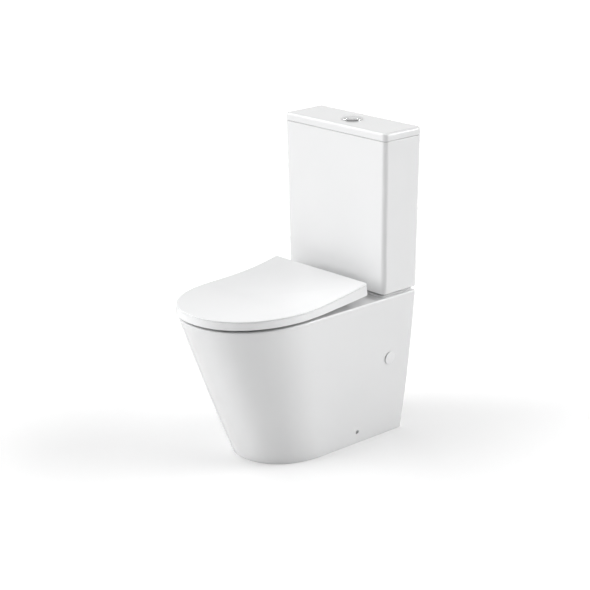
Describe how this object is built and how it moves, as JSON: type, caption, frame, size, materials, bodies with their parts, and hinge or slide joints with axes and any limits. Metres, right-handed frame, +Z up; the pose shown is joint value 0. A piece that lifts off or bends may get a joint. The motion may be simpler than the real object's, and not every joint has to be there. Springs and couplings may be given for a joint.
{
  "type": "close coupled toilet",
  "caption": "Back to wall close coupled toilet: skirted pan, slim cistern with a lift-off lid and dual flush button, soft close seat and lid, flush and fill valves.",
  "frame": {"origin": "on the floor under the middle of the toilet's outline, 314 mm in front of the wall face", "axes": "+Z up, -Y out from the wall to the nose of the pan, +X to the right of someone facing the wall"},
  "size_m": [0.373, 0.628, 0.8484],
  "materials": {
    "glazed_china": "white glaze, gloss",
    "seat_plastic": "white moulded urea resin, gloss",
    "valve_plastic": "pale grey moulded plastic",
    "blue_plastic": "blue grey moulded plastic",
    "black_rubber": "soft black rubber",
    "clear_rubber": "translucent soft rubber",
    "chrome": "bright plated",
    "steel": "stainless fasteners"
  },
  "bodies": {
    "toilet": {"pan": "glazed_china", "pan_bowl": "glazed_china", "pan_trapway": "glazed_china", "pan_flushway": "glazed_china", "close_coupling_gasket": "black_rubber", "cistern": "glazed_china", "side_cap_left": "seat_plastic", "floor_bracket_left": "steel", "bracket_screw_left": "steel", "cistern_bolt_left": "steel", "bolt_washer_left": "black_rubber", "wing_nut_left": "valve_plastic", "hinge_post_left": "chrome", "hinge_pin_left": "steel", "seat_stud_left": "steel", "cone_washer_left": "black_rubber", "seat_nut_left": "valve_plastic", "side_cap_right": "seat_plastic", "floor_bracket_right": "steel", "bracket_screw_right": "steel", "cistern_bolt_right": "steel", "bolt_washer_right": "black_rubber", "wing_nut_right": "valve_plastic", "hinge_post_right": "chrome", "hinge_pin_right": "steel", "seat_stud_right": "steel", "cone_washer_right": "black_rubber", "seat_nut_right": "valve_plastic", "flush_valve_base": "valve_plastic", "flush_valve_nut": "valve_plastic", "flush_valve_cage": "valve_plastic", "fill_valve_body": "valve_plastic", "fill_valve_washer": "black_rubber", "fill_valve_nut": "valve_plastic", "fill_valve_cap": "blue_plastic"},
    "seat": {"soft_close_damper_left": "valve_plastic", "seat_buffer_front_left": "clear_rubber", "seat_buffer_rear_left": "clear_rubber", "soft_close_damper_right": "valve_plastic", "seat_buffer_front_right": "clear_rubber", "seat_buffer_rear_right": "clear_rubber", "seat_ring": "seat_plastic"},
    "lid": {"lid_buffer_left": "clear_rubber", "lid_buffer_right": "clear_rubber", "seat_lid": "seat_plastic"},
    "cistern_top": {"cistern_lid": "glazed_china", "button_ring": "chrome", "button_housing": "valve_plastic", "housing_nut": "valve_plastic", "half_flush_spring": "steel", "full_flush_spring": "steel"},
    "half_button": {"half_flush_button": "chrome", "half_flush_rod": "valve_plastic"},
    "full_button": {"full_flush_button": "chrome", "full_flush_rod": "valve_plastic"},
    "flush_core": {"flush_valve_core": "blue_plastic", "flush_valve_seal": "black_rubber"},
    "fill_float": {"fill_valve_float": "valve_plastic"},
    "fill_arm": {"fill_valve_lever": "blue_plastic"}
  },
  "joints": [
    {"name": "seat_hinge", "type": "hinge", "parent": "toilet", "child": "seat", "pos_m": [0, 0.114, 0.436], "axis": [-1, 0, 0], "range_deg": [0, 94]},
    {"name": "lid_hinge", "type": "hinge", "parent": "seat", "child": "lid", "pos_m": [0, 0.114, 0.436], "axis": [1, 0, 0], "range_deg": [-97, 0]},
    {"name": "cistern_lid_lift", "type": "slide", "parent": "toilet", "child": "cistern_top", "axis": [0, 0, 1], "range_m": [0, 0.12]},
    {"name": "half_flush_press", "type": "slide", "parent": "cistern_top", "child": "half_button", "axis": [0, 0, 1], "range_m": [-0.006, 0], "stiffness_N_per_m": 700, "springref_m": 0.003},
    {"name": "full_flush_press", "type": "slide", "parent": "cistern_top", "child": "full_button", "axis": [0, 0, 1], "range_m": [-0.006, 0], "stiffness_N_per_m": 700, "springref_m": 0.003},
    {"name": "flush_core_lift", "type": "slide", "parent": "toilet", "child": "flush_core", "axis": [0, 0, 1], "range_m": [0, 0.035]},
    {"name": "float_rise", "type": "slide", "parent": "toilet", "child": "fill_float", "axis": [0, 0, 1], "range_m": [0, 0.095]},
    {"name": "fill_arm_swing", "type": "hinge", "parent": "toilet", "child": "fill_arm", "pos_m": [-0.115, 0.25, 0.6475], "axis": [0, -1, 0], "range_deg": [0, 20]}
  ],
  "couplings": [
    {"joint": "flush_core_lift", "follows": "full_flush_press", "ratio": -5.8333},
    {"joint": "fill_arm_swing", "follows": "float_rise", "rad_per_m": 3.6743}
  ]
}
